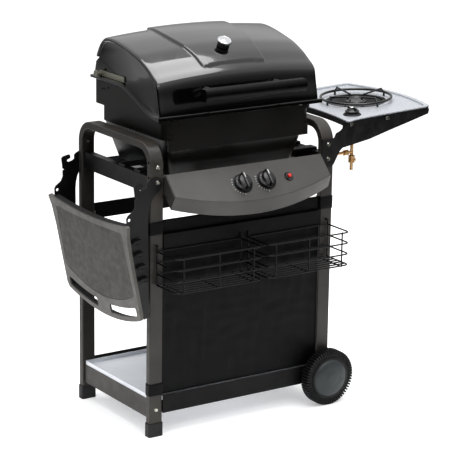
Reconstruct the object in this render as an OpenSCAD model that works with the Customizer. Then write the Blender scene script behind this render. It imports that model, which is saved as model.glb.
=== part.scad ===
// Two-burner gas barbecue on a wheeled cart, with a fold-down side shelf, a side burner, a hinged lid,
// a front curtain and two hanging wire baskets. Millimetres, +Z up, the front faces -Y.

/* [Cart] */
// Width over the outer faces of the two side frames
cart_w = 596; // [580:2:620]
// Depth over the legs
cart_d = 384; // [376:2:400]
// Height of the side frames
frame_h = 816; // [806:1:830]
// Frame tube, size across the cart
tube_w = 40; // [38:1:42]
// Frame tube, size in the plane of its bends
tube_t = 20; // [18:1:22]
// Wall of the frame tube
tube_wall = 1.5; // [1:0.1:2.5]
// Outer radius of the top bends
bend_r = 60; // [50:1:70]

/* [Wheels] */
// Outer radius of a tyre
wheel_r = 81; // [76:0.5:84]
// Width of a tyre
wheel_w = 32; // [26:1:34]
// Radius of the axle
axle_r = 5; // [4:0.5:6]

/* [Side shelves] */
// Height of the arms' pivot bolts
pivot_z = 712; // [705:1:718]
// Angle that the left shelf swings up through
fold_angle = 101.4; // [95:0.2:101.4]
// Upward set of the burner shelf
shelf_rise = 2.3; // [0:0.1:3]

/* [Firebox and lid] */
// Half width of the firebox
box_x = 245; // [240:1:247]
// Half width of the lid, without its flange
lid_x = 257; // [256:1:260]
// Rise of the lid's roof from its sides to its middle
crown = 14; // [8:1:18]
// Height of the raised panel on the lid
panel_rise = 7; // [4:0.5:9]

/* [Control panel] */
// Slope of the panel's face from horizontal
panel_tilt = 46; // [42:1:50]
// Distance between the two burner knobs
knob_pitch = 77; // [70:1:84]
// Radius of a burner knob
knob_r = 26; // [22:1:28]

/* [Baskets] */
// Wire diameter
wire_d = 4.2; // [3.4:0.1:5]
// Number of horizontal wires round a basket
basket_rows = 4; // [3:1:5]

/* [Hidden] */
$fn = 48;

leg_x = cart_w / 2 - tube_w / 2;
leg_y = cart_d / 2 - tube_t / 2;
face_x = cart_w / 2;
face_y = cart_d / 2;
inner_x = face_x - tube_w;
inner_y = face_y - tube_t;
bolt_r = 3;
run_gap = 0.05;
// Middle of the part's plan, measured from the middle of the cart
plan_mid = [142.465, -28.05];

// Every node is drawn about the middle of the cart, then moved so the whole part is centred
module centred() translate([-plan_mid.x, -plan_mid.y, 0]) children();

// Box between two opposite corners
module slab(a, b) translate(a) cube(b - a);

module both_x() for (s = [0, 1]) mirror([s, 0, 0]) children();
module both_y() for (s = [0, 1]) mirror([0, s, 0]) children();
module four() both_x() both_y() children();

module rounded(w, d, r) {
    square([w - 2 * r, d], center = true);
    square([w, d - 2 * r], center = true);
    for (x = [-1, 1], y = [-1, 1])
        translate([x * (w / 2 - r), y * (d / 2 - r)]) circle(r);
}

module rod(a, b, r) {
    d = b - a;
    h = norm(d);
    translate(a) rotate([0, acos(d.z / h), atan2(d.y, d.x)]) cylinder(h = h, r = r);
}

// Pan-head bolt along +Z, its head below z = 0 and a nut at its far end
module bolt(grip, r = bolt_r, nut = true) {
    translate([0, 0, -3.5]) cylinder(h = 3.5, r1 = 4.6, r2 = 6.2);
    cylinder(h = grip + (nut ? 7 : 0), r = r);
    if (nut) translate([0, 0, grip]) cylinder(h = 5, r = 5.8, $fn = 6);
}

// ---------------------------------------------------------------- side frames
module hoop(w, t, r, foot) {
    bend = bend_r - tube_t / 2;
    straight_z = frame_h - bend_r;
    half = leg_y - bend;
    both_y() {
        translate([0, leg_y, foot]) linear_extrude(straight_z - foot) rounded(w, t, r);
        translate([0, half, straight_z]) rotate([90, 0, 90])
            rotate_extrude(angle = 90) translate([bend, 0]) rounded(t, w, r);
    }
    translate([0, 0, frame_h - tube_t / 2]) rotate([90, 0, 0])
        linear_extrude(2 * half, center = true) rounded(w, t, r);
}

cap_floor = 5;
right_foot = 48;
arm_bolt_gap = 41;
basket_hook_z = 539;
left_rail_bolt_z = 77;
right_rail_bolt_z = 62;

module side_frame(foot) difference() {
    hoop(tube_w, tube_t, 3, foot);
    hoop(tube_w - 2 * tube_wall, tube_t - 2 * tube_wall, 1.5, foot);
    both_y() {
        for (z = [pivot_z, pivot_z + arm_bolt_gap])
            translate([0, inner_y - 1, z]) rotate([-90, 0, 0]) cylinder(h = tube_t + 2, r = 4.2);
        for (z = [left_rail_bolt_z, right_rail_bolt_z])
            if ((foot < right_foot) == (z == left_rail_bolt_z))
                translate([0, inner_y - 1, z]) rotate([-90, 0, 0]) cylinder(h = tube_t + 2, r = 3.2);
    }
}

module left_side_frame() centred() color("#4b4742") difference() {
    translate([-leg_x, 0, 0]) side_frame(cap_floor);
    translate([-leg_x, -face_y - 1, basket_hook_z]) rotate([-90, 0, 0]) cylinder(h = 4, r = 3);
    for (z = [725, 765]) translate([-face_x - 1, -leg_y, z]) rotate([0, 90, 0]) cylinder(h = 4, r = 3.5);
}

module right_side_frame() centred() color("#4b4742") difference() {
    translate([leg_x, 0, 0]) side_frame(right_foot);
    translate([leg_x, -face_y - 1, basket_hook_z]) rotate([-90, 0, 0]) cylinder(h = 4, r = 3);
    both_y() translate([leg_x, inner_y - 1, wheel_r]) rotate([-90, 0, 0]) cylinder(h = tube_t + 2,
        r = axle_r + 0.2);
}

cap_h = 38;
module foot_caps() centred() color("#17171a") both_y() translate([-leg_x, leg_y, 0]) difference() {
    linear_extrude(cap_h) rounded(tube_w + 5, tube_t + 5, 5);
    translate([0, 0, cap_floor]) linear_extrude(cap_h) rounded(tube_w + 0.2, tube_t + 0.2, 3);
}

module leg_plugs() centred() color("#17171a") both_y() translate([leg_x, leg_y, 0]) {
    translate([0, 0, right_foot - 4]) linear_extrude(4) rounded(tube_w, tube_t, 3);
    translate([0, 0, right_foot]) linear_extrude(10)
        rounded(tube_w - 2 * tube_wall - 0.4, tube_t - 2 * tube_wall - 0.4, 1.5);
}

// ---------------------------------------------------------------- rails and shelf
rail_t = 2;
tab_x = inner_x;
upper_rail_z = [679, 725];
lower_rail_z = [51, 104];

// Channel between the legs of one side frame, with an end tab against each leg
module side_rail(z, lip, bolt_z) difference() {
    union() {
        slab([face_x - 6 - rail_t, -inner_y, z[0]], [face_x - 6, inner_y, z[1]]);
        for (h = [z[0], z[1] - rail_t]) slab([face_x - 6 - lip, -inner_y, h], [face_x - 6, inner_y,
            h + rail_t]);
        both_y() slab([leg_x - 14, inner_y - rail_t, z[0]], [face_x - 6, inner_y, z[1]]);
    }
    both_y() translate([leg_x, inner_y - rail_t - 1, bolt_z]) rotate([-90, 0, 0])
        cylinder(h = rail_t + 2, r = 4.2);
}

module upper_side_rails() centred() color("#141416") difference() {
    both_x() {
        side_rail(upper_rail_z, 22, pivot_z);
        // runner for the grease tray
        slab([tray_x - 6, tray_y[0], upper_rail_z[0]], [face_x - 26, tray_y[1] - 13, upper_rail_z[0] + 2]);
    }
    // way through for the gas pipe, and the slots that the firebox lugs bolt to
    translate([face_x - 10, pipe_y, pipe_z]) rotate([0, 90, 0]) cylinder(h = 8, r = 9);
    both_x() for (y = lug_y) translate([lug_bolt_x, y, upper_rail_z[1] - 3]) cylinder(h = 4, r = 3.2);
}

module lower_side_rails() centred() color("#4b4742") {
    mirror([1, 0, 0]) side_rail(lower_rail_z, 18, left_rail_bolt_z);
    difference() {
        side_rail(lower_rail_z, 18, right_rail_bolt_z);
        both_y() translate([leg_x, inner_y - rail_t - 1, wheel_r]) rotate([-90, 0, 0])
            cylinder(h = rail_t + 2, r = axle_r + 0.2);
    }
}

// Flat rail across the cart, with a tab inside each leg
module cross_rail(z, tab_z) {
    slab([-tab_x, -face_y - 3, z[0]], [tab_x, -face_y - 1, z[1]]);
    both_x() difference() {
        slab([tab_x - rail_t, -face_y - 1, tab_z[0]], [tab_x, -inner_y - 2, tab_z[1]]);
        translate([tab_x - rail_t - 1, -leg_y, (tab_z[0] + tab_z[1]) / 2]) rotate([0, 90, 0])
            cylinder(h = rail_t + 2, r = 3.2);
    }
}

upper_cross_z = [523, 568];
lower_cross_z = [65, 116];
upper_tab_z = [526, 562];
lower_tab_z = [67, 101];
hook_x = 13;

module upper_front_rail() centred() color("#3b3a3a") difference() {
    cross_rail(upper_cross_z, upper_tab_z);
    both_x() translate([hook_x, -face_y - 4, basket_hook_z]) rotate([-90, 0, 0]) cylinder(h = 4, r = 3);
}

module upper_rear_rail() centred() color("#3b3a3a") mirror([0, 1, 0]) cross_rail(upper_cross_z,
    upper_tab_z);
module lower_front_rail() centred() color("#3b3a3a") cross_rail(lower_cross_z, lower_tab_z);
module lower_rear_rail() centred() color("#3b3a3a") mirror([0, 1, 0]) cross_rail(lower_cross_z,
    lower_tab_z);

shelf_half = [face_x - 8, inner_y - 3];
module bottom_shelf() centred() color("#c9ccd2") difference() {
    slab([-shelf_half.x, -shelf_half.y, lower_rail_z[1]], [shelf_half.x, shelf_half.y,
        lower_rail_z[1] + 12]);
    slab([-shelf_half.x + 1.5, -shelf_half.y + 1.5, lower_rail_z[1] + 1.5],
         [shelf_half.x - 1.5, shelf_half.y - 1.5, lower_rail_z[1] + 13]);
}

module frame_bolts() centred() color("#b9b7b0") {
    both_y() {
        translate([-leg_x, -face_y, left_rail_bolt_z]) rotate([-90, 0, 0]) bolt(tube_t + rail_t);
        translate([leg_x, -face_y, right_rail_bolt_z]) rotate([-90, 0, 0]) bolt(tube_t + rail_t);
    }
    four() for (t = [upper_tab_z, lower_tab_z])
        translate([tab_x - rail_t, -leg_y, (t[0] + t[1]) / 2]) rotate([0, -90, 0])
            cylinder(h = 4, r = 5.5);
    // burner shelf arms, fixed to the right legs by two bolts each
    both_y() for (z = [pivot_z, pivot_z + arm_bolt_gap])
        translate([leg_x, -face_y - arm_t, z]) rotate([-90, 0, 0])
            bolt(tube_t + arm_t + (z == pivot_z ? rail_t : 0));
    // left arms: the lower bolt is the pivot, the upper one the catch
    both_y() {
        translate([-leg_x, -face_y - arm_t - 0.4, pivot_z]) rotate([-90, 0, 0])
            bolt(tube_t + arm_t + 0.4 + rail_t, 4);
        translate([-leg_x, -face_y - arm_t - 1.4, pivot_z + arm_bolt_gap]) rotate([-90, 0, 0])
            bolt(tube_t + arm_t + 1.4, 4);
    }
}

// ---------------------------------------------------------------- wheels
wheel_in = face_y + 10;
module axle() centred() color("#8d8f92") translate([leg_x, 0, wheel_r]) rotate([90, 0, 0]) {
    cylinder(h = 2 * (wheel_in + wheel_w + 4), r = axle_r, center = true);
    both_z() {
        translate([0, 0, wheel_in + wheel_w + 1.5]) cylinder(h = 3, r = 9);
        translate([0, 0, face_y]) cylinder(h = wheel_in - face_y - 2.5, r = 9);
    }
}
module both_z() for (s = [0, 1]) mirror([0, 0, s]) children();

hub_r = 60;
module wheel_place(front) centred() translate([leg_x, front ? -wheel_in : wheel_in, wheel_r])
    rotate([front ? 90 : -90, 0, 0]) children();

module tyre() rotate_extrude($fn = 96) difference() {
    translate([hub_r, 0]) square([wheel_r - hub_r, wheel_w]);
    translate([wheel_r, 0]) rotate(45) square(6, center = true);
    translate([wheel_r, wheel_w]) rotate(45) square(6, center = true);
}

module hub() difference() {
    rotate_extrude($fn = 96) {
        translate([axle_r + run_gap, -2]) square([10, wheel_w + 3]);
        translate([axle_r + 9, wheel_w / 2 - 2]) square([hub_r - axle_r - 9, 4]);
        translate([hub_r - 3, 0]) square([3, wheel_w]);
        polygon([[14, wheel_w - 2], [hub_r, wheel_w - 2], [hub_r, wheel_w], [hub_r - 6, wheel_w + 5],
                 [hub_r - 22, wheel_w + 9], [26, wheel_w + 11], [14, wheel_w + 12]]);
        translate([0, wheel_w + 7]) square([14.5, 5]);
    }
    for (a = [0 : 60 : 300]) rotate(a) translate([36, 0, wheel_w / 2 - 3]) cylinder(h = 6, r = 9);
}

module wheel_front_tyre() color("#161618") wheel_place(true) tyre();
module wheel_rear_tyre() color("#161618") wheel_place(false) tyre();
module wheel_front_hub() color("#4a5254") wheel_place(true) hub();
module wheel_rear_hub() color("#4a5254") wheel_place(false) hub();

// ---------------------------------------------------------------- curtain and baskets
curtain_z = [117, 607];
curtain_y = -face_y + 3;
module curtain() centred() color("#0e0e10")
    slab([-inner_x + 7.6, curtain_y, curtain_z[0]], [inner_x - 7.6, curtain_y + 7, curtain_z[1]]);

strap_z = [[569, 605], [118, 152]];
module curtain_straps() centred() color("#101014") both_x() for (z = strap_z)
    translate([leg_x, -leg_y, z[0]]) linear_extrude(z[1] - z[0]) difference() {
        rounded(tube_w + 3.4, tube_t + 3.4, 4);
        rounded(tube_w + 0.6, tube_t + 0.6, 3);
    }

basket_x = [12, 281];
basket_front = -300;
basket_z = [432, 525];
basket_corner = 14;
floor_wires = 5;

// Level wire from one rear end, along the front and back to the other rear end
module basket_loop(z, back) {
    c = basket_corner;
    f = basket_front;
    for (x = basket_x) rod([x, back, z], [x, f + c, z], wire_d / 2);
    rod([basket_x[0] + c, f, z], [basket_x[1] - c, f, z], wire_d / 2);
    translate([basket_x[0] + c, f + c, z]) rotate(180) rotate_extrude(angle = 90)
        translate([c, 0]) circle(wire_d / 2, $fn = 24);
    translate([basket_x[1] - c, f + c, z]) rotate(270) rotate_extrude(angle = 90)
        translate([c, 0]) circle(wire_d / 2, $fn = 24);
}

module basket() {
    back = -face_y - 6;
    step = (basket_z[1] - basket_z[0]) / (basket_rows - 1);
    tuck = wire_d * 0.7;
    for (i = [0 : basket_rows - 1]) basket_loop(basket_z[0] + i * step, back);
    // rear wires, hooked into the leg and into the rail
    for (i = [0 : basket_rows - 1])
        rod([basket_x[0], back, basket_z[0] + i * step], [basket_x[1], back, basket_z[0] + i * step],
            wire_d / 2);
    for (x = basket_x) rod([x, back, basket_z[0]], [x, back, basket_hook_z], wire_d / 2);
    rod([basket_x[0] + 1, back, basket_hook_z], [basket_x[0] + 1, -face_y - 1.5, basket_hook_z],
        wire_d / 2);
    rod([leg_x, back, basket_hook_z], [leg_x, -face_y + 1.6, basket_hook_z], wire_d / 2);
    rod([leg_x - 1, back, basket_hook_z], [basket_x[1], back, basket_hook_z], wire_d / 2);
    // upright wires down the front and under the floor
    for (x = [36, 146, 258])  {
        rod([x, basket_front + tuck, basket_z[0] - tuck], [x, basket_front + tuck, basket_z[1] + 2],
            wire_d / 2);
        rod([x, basket_front + tuck, basket_z[0] - tuck], [x, back, basket_z[0] - tuck], wire_d / 2);
    }
    // floor wires
    for (i = [1 : floor_wires])
        let (y = basket_front + (back - basket_front) * i / (floor_wires + 1))
            rod([basket_x[0], y, basket_z[0]], [basket_x[1], y, basket_z[0]], wire_d / 2);
}

module basket_right() centred() color("#0c0c0d") basket();
module basket_left() centred() color("#0c0c0d") mirror([1, 0, 0]) basket();

// ---------------------------------------------------------------- side shelves
// Both shelves are drawn level, with the pivot bolt at the origin, +X away from the cart and +Z up.
arm_t = 3;
arm_y = face_y + 0.4;
top_z = 124.3;
slot_w = 12.5;
shelf_half_w = 198.5;

module fold_place() centred() translate([-leg_x, 0, pivot_z]) rotate([0, -fold_angle, 0])
    mirror([1, 0, 0]) children();
module burner_place() centred() translate([leg_x, 0, pivot_z]) children();
module rise_place() burner_place() translate([0, 0, 98.5]) rotate([0, -shelf_rise, 0]) children();

// Plan of a shelf: hollow inner edge, straight sides, bowed outer edge
inner_half = 215;
outer_half = 190;
outer_u = 358;
outer_bow = 33;
function bow(v, half, depth) = depth * (1 - pow(v / half, 2));
function shelf_plan(u_in, bow_in) = concat(
    [for (i = [-8 : 8]) let (v = inner_half * i / 8) [u_in + bow(v, inner_half, bow_in), v]],
    [[u_in + 32, shelf_half_w + 5], [u_in + 90, shelf_half_w], [344, shelf_half_w - 0.3]],
    [for (i = [8 : -1 : -8]) let (v = outer_half * i / 8) [outer_u + bow(v, outer_half, outer_bow), v]],
    [[344, 0.3 - shelf_half_w], [u_in + 90, -shelf_half_w], [u_in + 32, -shelf_half_w - 5]]
);

module shelf_outline(u_in, bow_in, inset = 0) offset(delta = -inset) offset(r = 6) offset(delta = -6)
    polygon(shelf_plan(u_in, bow_in));

left_u = 80;
left_bow = 17;
right_u = 52;
right_bow = 23;

// Hand slot that follows the bowed outer edge, on one side of the middle
module hand_slot() {
    outer = [for (i = [0 : 8]) let (v = 34 + 146 * i / 8) [outer_u + bow(v, outer_half, outer_bow)
        - 14, v]];
    inner = [for (i = [8 : -1 : 0]) let (v = 34 + 146 * i / 8) [outer_u + bow(v, outer_half, outer_bow)
        - 40, v]];
    offset(r = 6) offset(delta = -6) polygon(concat(outer, inner));
}

inlay_u = [104, 333];
module inlay_outline(gap = 0) offset(r = 8 - gap) offset(delta = -8) polygon(concat(
    [for (i = [-6 : 6]) let (v = 176 * i / 6) [inlay_u[0] + bow(v, 200, 9), v]],
    [for (i = [6 : -1 : -6]) let (v = 184 * i / 6) [inlay_u[1] - 46 + bow(v, 184, 46), v]]
));

module left_shelf_top() fold_place() color("#6e6c67") translate([0, 0, top_z - 10]) difference() {
    linear_extrude(10) shelf_outline(left_u, left_bow);
    // the lip runs round the ends and the outer edge, and stops along the hollow inner edge
    translate([0, 0, -1]) linear_extrude(6) {
        shelf_outline(left_u, left_bow, 2.5);
        translate([left_u - 10, -face_y]) square([50, 2 * face_y]);
    }
    translate([0, 0, 8]) linear_extrude(3) inlay_outline();
    translate([0, 0, -1]) linear_extrude(12) both_y() hand_slot();
}

module left_shelf_inlay() fold_place() color("#5f5c58") translate([0, 0, top_z - 2])
    linear_extrude(1.5) inlay_outline(0.4);

// Upright strip under a shelf's inner or outer edge, between the two arms
module skirt(u_in, bow_in, height, inset, from, to) linear_extrude(height) intersection() {
    difference() {
        shelf_outline(u_in, bow_in, inset);
        shelf_outline(u_in, bow_in, inset + 3);
    }
    translate([from, -face_y + 0.3]) square([to - from, 2 * face_y - 0.6]);
}

skirt_h = 18;
module left_shelf_skirt() fold_place() color("#17171a") {
    translate([0, 0, top_z - 5 - skirt_h]) {
        skirt(left_u, left_bow, skirt_h, 0.8, 0, 200);
        skirt(left_u, left_bow, skirt_h, 3.5, 200, 400);
    }
    for (u = [150, 250]) slab([u, -face_y + 0.3, top_z - 5 - skirt_h], [u + 3, face_y - 0.3, top_z - 5]);
}

// Outline of a fold-down arm, from the pivot lobe round the catch hook to the tip
left_arm = [
    [-4.5, -13], [-13.5, -4], [-15, 13], [-12.5, 25], [-8.5, 31.5], [2.4, 33.6], [5, 40.3], [6, 53],
        [1.5, 58],
    [-2, 55.7], [-3.6, 45.7], [-10.5, 44.3], [-14, 46], [-15, 54], [-14.6, 67.4], [-10.6, 72.8], [8.6,
        73.7],
    [18, 75], [23, 70], [24, 75.8], [40.3, 78.5], [51, 86], [55.4, 95], [59.5, 105], [66.4, 111],
    [87, 113.8], [88, top_z - 5.2], [340, top_z - 5.2], [341, 113.8], [356, 113.6], [354, 98.5], [210, 69.5], [129.5, 55.7], [90, 48.3],
    [69, 42.5], [51, 33.8], [41, 25.6], [34, 18], [27, 7.5], [22, -2.7], [9, -13.5]
];
lobe_hole = [72, 103.3];
tool_hooks = [132, 168, 204, 240];

module tool_hook() {
    translate([-1.5, 0, 84]) cube([3, 12, 24]);
    translate([-1.5, 9, 104]) cube([12, 3, 4]);
    translate([7.5, 9, 92]) cube([3, 3, 14]);
}

module left_arm_at(y) difference() {
    union() {
        translate([0, y + arm_t, 0]) rotate([90, 0, 0]) linear_extrude(arm_t) polygon(left_arm);
        for (u = tool_hooks) translate([u, y + arm_t - 0.5, 0]) tool_hook();
    }
    translate([0, y - 1, 0]) rotate([-90, 0, 0]) cylinder(h = arm_t + 2, r = 4 + run_gap);
    translate([lobe_hole.x, y - 1, lobe_hole.y]) rotate([-90, 0, 0]) cylinder(h = arm_t + 2, r = 4.5);
}

module left_shelf_arm_rear() fold_place() color("#141416") left_arm_at(arm_y);
module left_shelf_arm_front() fold_place() color("#141416") mirror([0, 1, 0]) left_arm_at(arm_y);

right_arm = [
    [-21, 56], [7, 56], [20.6, 57], [27, 69.5], [41, 75], [49, 82], [50, 97.2], [352, 109.2], [355, 104],
    [352, 92.6], [285, 76], [214, 59], [143.5, 41], [81, 31], [49, 26], [39, 17], [20, -17], [13, -23],
    [-1, -23], [-15, -12], [-20, 4]
];
right_bolts = [[78.4, 89.6], [205, 94.8]];

module burner_shelf_arms() burner_place() color("#141416") both_y() difference() {
    translate([0, face_y + arm_t, 0]) rotate([90, 0, 0]) linear_extrude(arm_t) polygon(right_arm);
    for (z = [0, arm_bolt_gap]) translate([0, face_y - 1, z]) rotate([-90, 0, 0])
        cylinder(h = arm_t + 2, r = bolt_r + 0.2);
    for (p = right_bolts) translate([p.x, face_y - 1, p.y]) rotate([-90, 0, 0])
        cylinder(h = arm_t + 2, r = bolt_r + 0.2);
}

module shelf_bolts() {
    burner_place() color("#b9b7b0") both_y() for (p = right_bolts)
        translate([p.x, -face_y - arm_t, p.y]) rotate([-90, 0, 0]) bolt(arm_t, bolt_r, false);
}

burner_u = 240;
bowl_r = 78;
side_knob_at = [124, -136];
top_t = 3;
field_z = -1.5;
field_v = 189;

// Plan of the sunken middle of the burner shelf, clear of the arms
module field_outline(inset, half) intersection() {
    shelf_outline(right_u, right_bow, inset);
    translate([0, -half]) square([outer_u + outer_bow, 2 * half]);
}

module burner_shelf_top() rise_place() color("#b4b6ba") difference() {
    union() {
        linear_extrude(top_t) shelf_outline(right_u, right_bow);
        translate([0, 0, field_z - 3]) linear_extrude(7) field_outline(9.5, field_v);
    }
    translate([0, 0, field_z]) linear_extrude(10) field_outline(12.5, field_v - 3);
    translate([burner_u, 0, field_z - 4]) cylinder(h = 5, r = bowl_r);
    translate([side_knob_at.x, side_knob_at.y, field_z - 4]) cylinder(h = 5, r = 8);
}

module burner_shelf_skirt() rise_place() color("#17171a") translate([0, 0, -16])
    skirt(right_u, right_bow, 16, 0.8, 0, 400);

// ---------------------------------------------------------------- side burner
// the burner, its bowl and its valve are drawn from the underside of the sunken field
module field_place() rise_place() translate([0, 0, field_z - 3]) children();

module burner_bowl() field_place() color("#1b1b1d") translate([burner_u, 0, 0]) rotate_extrude($fn = 72) {
    polygon([[bowl_r - 2.2, top_t + 1.2], [bowl_r + 10, top_t + 1.2], [bowl_r + 10, top_t],
        [bowl_r - 0.2, top_t],
             [bowl_r - 0.2, 0], [bowl_r - 14, -22], [12, -26], [12, -24], [bowl_r - 15.5, -20],
                 [bowl_r - 2.2, 1]]);
}

module side_burner() field_place() color("#26262a") translate([burner_u, 0, 0]) {
    rotate_extrude($fn = 64) polygon([[0, -26], [11.5, -26], [11.5, -24], [16, -20], [24, -6], [26,
        -6], [26, -1],
        [30, -1], [30, 3], [26, 5], [0, 6]]);
    translate([0, 0, -52]) cylinder(h = 26.5, r = 11);
    rod([0, 0, -45], [side_knob_at.x - burner_u + 7.4, side_knob_at.y + 8.7, -45], 6);
}

ring_r = 102.5;
ring_d = 7.5;
ring_lift = 12;
foot_r = 3;
module pan_support() field_place() color("#121214") translate([burner_u, 0, 3]) {
    translate([0, 0, ring_lift]) rotate_extrude($fn = 72) translate([ring_r, 0])
        circle(ring_d / 2, $fn = 24);
    for (a = [0 : 90 : 270]) rotate(a) {
        translate([ring_r, 0, 0.1]) cylinder(h = ring_lift - 0.1, r = foot_r);
        rod([ring_r - 1, 0, ring_lift], [ring_r - 11, 0, 23.4], 2.6);
        rod([ring_r - 11, 0, 23.4], [30, 0, 15], 2.6);
        rod([30, 0, 15], [28, 0, 8], 2.6);
        translate([ring_r - 11, 0, 23.4]) sphere(3.2);
        translate([30, 0, 15]) sphere(3.2);
    }
}

module side_valve() field_place() color("#b07a45") translate([side_knob_at.x, side_knob_at.y, 0])
    difference() {
    union() {
        translate([0, 0, -56]) cylinder(h = 55.8, r = 11);
        translate([0, 0, -62]) cylinder(h = 6.2, r = 7);
    }
    translate([0, 0, -30]) cylinder(h = 31, r = 4 + run_gap);
}

module side_stem() field_place() color("#a9a9ab") translate([side_knob_at.x, side_knob_at.y, -24])
    cylinder(h = 37, r = 4);

module control_knob(r, h, bar, sink) {
    difference() {
        union() {
            rotate_extrude($fn = 72) polygon([[0, sink], [r, sink], [r, sink + 3.5], [r - 2,
                sink + 5.5], [r * 0.72, sink + 7],
                [r * 0.68, h - 2], [r * 0.6, h], [0, h]]);
            intersection() {
                translate([-bar / 2, -r, sink + 3]) cube([bar, 2 * r, h + 3 - sink]);
                cylinder(h = 2 * h, r = r - 1.5);
            }
        }
        translate([0, 0, -1]) cylinder(h = sink + 9, r = 4 + run_gap);
    }
    translate([-1.2, r * 0.25, h + 6 - 0.01]) cube([2.4, r * 0.6, 0.6]);
}

module side_knob() field_place() color("#101012") translate([side_knob_at.x, side_knob_at.y, 10.7])
    control_knob(20, 9.5, 7, 0);

pipe_y = -138;
pipe_z = 706;
module gas_inlet() centred() color("#b07a45") {
    valve_x = leg_x + side_knob_at.x + 2.5;
    // riser to the side valve, inlet block with a test port, and the hose barb pointing down
    rod([valve_x, pipe_y + 2, 748.5], [valve_x, pipe_y + 2, 690], 4.5);
    translate([valve_x, pipe_y + 2, 676]) cylinder(h = 20, r = 9);
    rod([valve_x, pipe_y + 2, 684], [valve_x + 9, pipe_y - 6, 684], 4);
    translate([valve_x, pipe_y + 2, 654]) cylinder(h = 23, r = 4);
    for (z = [656, 662, 668]) translate([valve_x, pipe_y + 2, z]) cylinder(h = 3, r1 = 5.2, r2 = 4);
    // supply pipe through the side rail to the manifold's end
    rod([valve_x, pipe_y + 2, pipe_z], [manifold_end, pipe_y + 2, pipe_z], 4);
    translate([valve_x - 28, pipe_y + 2, pipe_z]) rotate([0, 90, 0]) cylinder(h = 14, r = 8, $fn = 6);
    rod([manifold_end, pipe_y + 2, pipe_z], [manifold_end, pipe_y + 2, manifold_z], 4);
    translate([manifold_end, pipe_y + 2, pipe_z]) sphere(4);
    translate([manifold_end, pipe_y + 2, manifold_z]) sphere(4);
    rod([manifold_end, pipe_y + 2, manifold_z], [manifold_end, manifold_y + 8.2, manifold_z], 4);
}

// ---------------------------------------------------------------- firebox
front_y = -165;
rear_y = 206;
rear_z = 930;
wall = 4;
lug_y = [-110, -30];
lug_bolt_x = face_x - 18;

// Parting line between firebox and lid, from the rear to the front, as [y, z]
function ease(t) = t * t * (3 - 2 * t);
part_low = 868;
part_from = 40;
part_to = -168;
function part_z(y) = y > part_from ? rear_z : y < part_to ? part_low
    : rear_z - (rear_z - part_low) * ease((part_from - y) / (part_from - part_to));
parting = [for (i = [0 : 12]) let (y = part_from + (part_to - part_from) * i / 12) [y, part_z(y)]];

module box_plan(x, y0, y1, r) translate([0, (y0 + y1) / 2]) rounded(2 * x, y1 - y0, r);

module upper_box(inset) intersection() {
    translate([0, 0, 700]) linear_extrude(300) box_plan(box_x - inset, front_y + inset, rear_y - inset,
        28 - inset);
    rotate([90, 0, 90]) linear_extrude(2 * box_x, center = true)
        polygon(concat([[rear_y + 1, 857]], [[rear_y + 1, rear_z]], parting, [[front_y - 1, part_low],
            [front_y - 1, 857]]));
}

module middle_box(inset, z0, z1) translate([0, 0, z0]) linear_extrude(z1 - z0)
    box_plan(box_x - 9 - inset, front_y + inset, rear_y - 28 - inset, 28 - inset);

taper_top = [box_x - 12, -155, 174, 812];
taper_low = [206, -128, 138, 708];
module lower_box(inset, drop) hull() {
    translate([0, 0, taper_top[3]]) linear_extrude(1)
        box_plan(taper_top[0] - inset, taper_top[1] + inset, taper_top[2] - inset, 24, $fn = 24);
    translate([0, 0, taper_low[3] + drop]) linear_extrude(1)
        box_plan(taper_low[0] - inset, taper_low[1] + inset, taper_low[2] - inset, 20, $fn = 24);
}

module firebox() centred() color("#2b2622") difference() {
    union() {
        difference() {
            union() {
                upper_box(0);
                middle_box(0, 812, 857);
                slab([-box_x + 18, front_y, 783], [box_x - 18, front_y + wall, 813]);
                lower_box(0, 0);
                // lugs that rest on the side rails
                both_x() for (y = lug_y) slab([190, y - 15, upper_rail_z[1]], [face_x - 8, y + 15,
                    upper_rail_z[1] + 7]);
            }
            translate([0, 0, 0.01]) upper_box(wall);
            translate([0, 0, 900]) linear_extrude(60)
                box_plan(box_x - wall, front_y + wall, rear_y - wall, 28 - wall);
            middle_box(wall, 811, 870);
            lower_box(wall, wall);
        }
        // ledges for the grates and for the flame tamers
        both_x() slab([box_x - 26, -140, 836], [box_x - 11, 150, 841]);
        for (y = [front_y + 1, rear_y - 44]) slab([-190, y, 836], [190, y + 14, 841]);
        for (y = [-150, 150]) slab([-160, y, 786], [160, y + 13, 790]);
    }
    both_x() for (p = ear_bolts) translate([box_x - 9, p.x, p.y]) rotate([0, 90, 0]) cylinder(h = 20,
        r = 2.7);
    both_x() for (y = lug_y) translate([lug_bolt_x, y, upper_rail_z[1] - 1]) cylinder(h = 9, r = 3.2);
    translate([0, 0, 690]) cylinder(h = 30, r = 22);
    both_x() translate([burner_x, neck_y, 700]) cylinder(h = 30, r = 12.5);
}

tray_x = 244;
tray_y = [-85, 178];
tray_z = upper_rail_z[0] + 3;
module grease_tray() centred() color("#c3c5c8") difference() {
    slab([-tray_x, tray_y[0], tray_z], [tray_x, tray_y[1], tray_z + 18]);
    slab([-tray_x + 1, tray_y[0] + 1, tray_z + 1], [tray_x - 1, tray_y[1] - 1, tray_z + 19]);
}

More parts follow.
